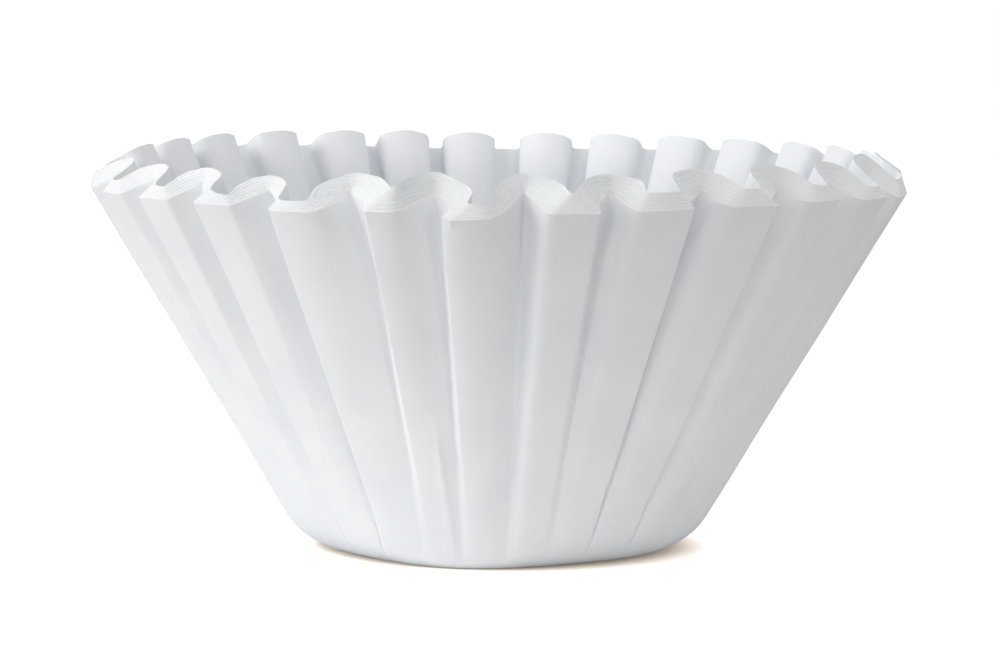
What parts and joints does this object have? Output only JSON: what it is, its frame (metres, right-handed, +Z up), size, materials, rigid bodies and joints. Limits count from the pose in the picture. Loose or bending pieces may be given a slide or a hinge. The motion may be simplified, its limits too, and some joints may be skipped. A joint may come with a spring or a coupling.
{
  "type": "paper coffee filter stack",
  "caption": "Nested stack of white paper basket filters with a flat round bottom and a flaring, crimped wall, open at the top to hold ground coffee.",
  "frame": {"origin": "middle of the flat bottom of the outermost filter, on the surface that the stack stands on", "axes": "+Z up along the stack's round axis, towards the open rim; -Y faces the front, the side seen in the picture"},
  "size_m": [0.16, 0.16, 0.0776],
  "materials": {
    "paper": "matte bleached filter paper, slightly fibrous"
  },
  "bodies": {
    "root": {"filter_pile": "paper"}
  },
  "joints": []
}
